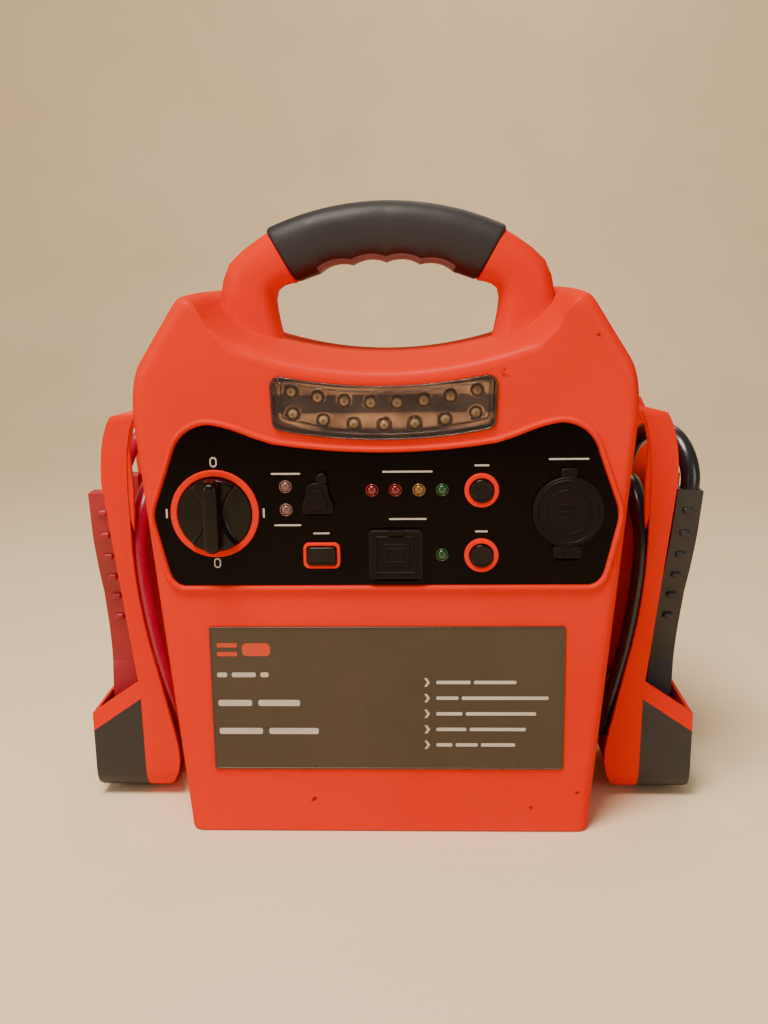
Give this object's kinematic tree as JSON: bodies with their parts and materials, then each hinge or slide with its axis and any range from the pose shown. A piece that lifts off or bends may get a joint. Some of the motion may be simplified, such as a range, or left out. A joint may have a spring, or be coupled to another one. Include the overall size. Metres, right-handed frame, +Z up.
{
  "type": "jump starter pack",
  "caption": "Portable jump starter box with carry handle, work light, control panel with outlets and a jump lead with a clamp holstered on each side.",
  "frame": {"origin": "centre of the body's flat base, on the surface it stands on", "axes": "+Z up, -Y out of the control panel, +X to the right as seen from the front, towards the black clamp"},
  "size_m": [0.3251, 0.1678, 0.318],
  "materials": {
    "shell": "satin moulded plastic",
    "rubber": "fine matt",
    "dark_plastic": "fine texture",
    "gloss_black": "gloss",
    "label": "satin film",
    "clear": "clear moulded",
    "reflector": "vacuum metallised",
    "led": "clear epoxy",
    "indicator": "clear epoxy",
    "circuit_board": "solder resist",
    "steel": "plated",
    "copper": "copper plated",
    "battery_case": "moulded",
    "aluminium": "cast",
    "motor_steel": "plated",
    "brass": "turned",
    "gauge": "gloss",
    "needle": "gloss",
    "red_plastic": "satin",
    "black_plastic": "satin",
    "red_cable": "glossy sheath",
    "black_cable": "glossy sheath"
  },
  "bodies": {
    "housing": {"front_shell": "shell", "rear_shell": "shell", "handle_frame": "shell", "handle_grip": "rubber", "panel_fascia": "gloss_black", "label_plate": "label", "lamp_lens": "clear", "lamp_reflector": "reflector", "lamp_leds": "led", "lamp_board": "circuit_board", "knob_ring": "shell", "rotary_switch": "dark_plastic", "control_board": "circuit_board", "indicator_leds": "indicator", "light_button_ring": "shell", "round_button_rings": "shell", "usb_socket": "steel", "charge_jack": "steel", "outlet_socket": "dark_plastic", "battery": "battery_case", "busbars": "copper", "compressor_motor": "motor_steel", "compressor_pump": "aluminium", "pressure_gauge": "gauge", "rocker_pin": "steel", "door_pin": "steel", "hose_outlet": "brass", "shell_screws": "steel", "left_tray": "shell", "right_tray": "shell", "left_pocket_cover": "dark_plastic", "right_pocket_cover": "dark_plastic", "left_tray_web": "shell", "right_tray_web": "shell", "left_hub": "shell", "right_hub": "shell", "left_lead": "red_cable", "right_lead": "black_cable"},
    "knob": {"rotary_knob": "gloss_black"},
    "light_key": {"light_button": "gloss_black"},
    "test_key": {"test_button": "gloss_black"},
    "usb_key": {"usb_button": "gloss_black"},
    "usb_flap": {"usb_cover": "rubber"},
    "jack_flap": {"charge_jack_cover": "rubber"},
    "outlet_flap": {"outlet_cap": "rubber"},
    "needle": {"gauge_needle": "needle"},
    "rocker": {"compressor_switch": "gloss_black"},
    "door": {"compartment_door": "shell"},
    "left_clamp": {"left_clamp_fixed_half": "red_plastic", "left_clamp_spring": "steel", "left_fixed_jaw_plate": "copper", "left_lead_end": "red_cable"},
    "left_clamp_arm": {"left_clamp_moving_half": "red_plastic", "left_moving_jaw_plate": "copper"},
    "right_clamp": {"right_clamp_fixed_half": "black_plastic", "right_clamp_spring": "steel", "right_fixed_jaw_plate": "copper", "right_lead_end": "black_cable"},
    "right_clamp_arm": {"right_clamp_moving_half": "black_plastic", "right_moving_jaw_plate": "copper"}
  },
  "joints": [
    {"name": "knob_turn", "type": "hinge", "parent": "housing", "child": "knob", "pos_m": [-0.0823, -0.0756, 0.1681], "axis": [0, 1, 0], "range_deg": [0, 90]},
    {"name": "light_press", "type": "slide", "parent": "housing", "child": "light_key", "axis": [0, 1, 0], "range_m": [0, 0.0012], "stiffness_N_per_m": 900},
    {"name": "test_press", "type": "slide", "parent": "housing", "child": "test_key", "axis": [0, 1, 0], "range_m": [0, 0.0012], "stiffness_N_per_m": 900},
    {"name": "usb_press", "type": "slide", "parent": "housing", "child": "usb_key", "axis": [0, 1, 0], "range_m": [0, 0.0012], "stiffness_N_per_m": 900},
    {"name": "usb_flap_open", "type": "hinge", "parent": "housing", "child": "usb_flap", "pos_m": [0.0052, -0.0759, 0.1353], "axis": [1, 0, 0], "range_deg": [0, 90]},
    {"name": "jack_flap_open", "type": "hinge", "parent": "housing", "child": "jack_flap", "pos_m": [-0.0322, -0.0762, 0.1681], "axis": [1, 0, 0], "range_deg": [0, 90]},
    {"name": "outlet_flap_open", "type": "hinge", "parent": "housing", "child": "outlet_flap", "pos_m": [0.0878, -0.076, 0.1453], "axis": [1, 0, 0], "range_deg": [0, 90]},
    {"name": "gauge_sweep", "type": "hinge", "parent": "housing", "child": "needle", "pos_m": [-0.058, 0.072, 0.168], "axis": [0, -1, 0], "range_deg": [0, 270]},
    {"name": "rocker_tilt", "type": "hinge", "parent": "housing", "child": "rocker", "pos_m": [0.058, 0.072, 0.168], "axis": [-1, 0, 0], "range_deg": [0, 18]},
    {"name": "door_open", "type": "hinge", "parent": "housing", "child": "door", "pos_m": [0, 0.0705, 0.046], "axis": [-1, 0, 0], "range_deg": [0, 90]},
    {"name": "left_clamp_lift", "type": "slide", "parent": "housing", "child": "left_clamp", "axis": [-0.0105, 0, 0.9999], "range_m": [0, 0.075]},
    {"name": "left_clamp_squeeze", "type": "hinge", "parent": "left_clamp", "child": "left_clamp_arm", "pos_m": [-0.1498, 0, 0.078], "axis": [0.9999, 0, 0.0105], "range_deg": [0, 21], "stiffness_Nm_per_rad": 1.2, "springref_deg": -17.19},
    {"name": "right_clamp_lift", "type": "slide", "parent": "housing", "child": "right_clamp", "axis": [0.0698, 0, 0.9976], "range_m": [0, 0.075]},
    {"name": "right_clamp_squeeze", "type": "hinge", "parent": "right_clamp", "child": "right_clamp_arm", "pos_m": [0.1498, 0, 0.078], "axis": [0.9976, 0, -0.0698], "range_deg": [0, 21], "stiffness_Nm_per_rad": 1.2, "springref_deg": -17.19}
  ]
}
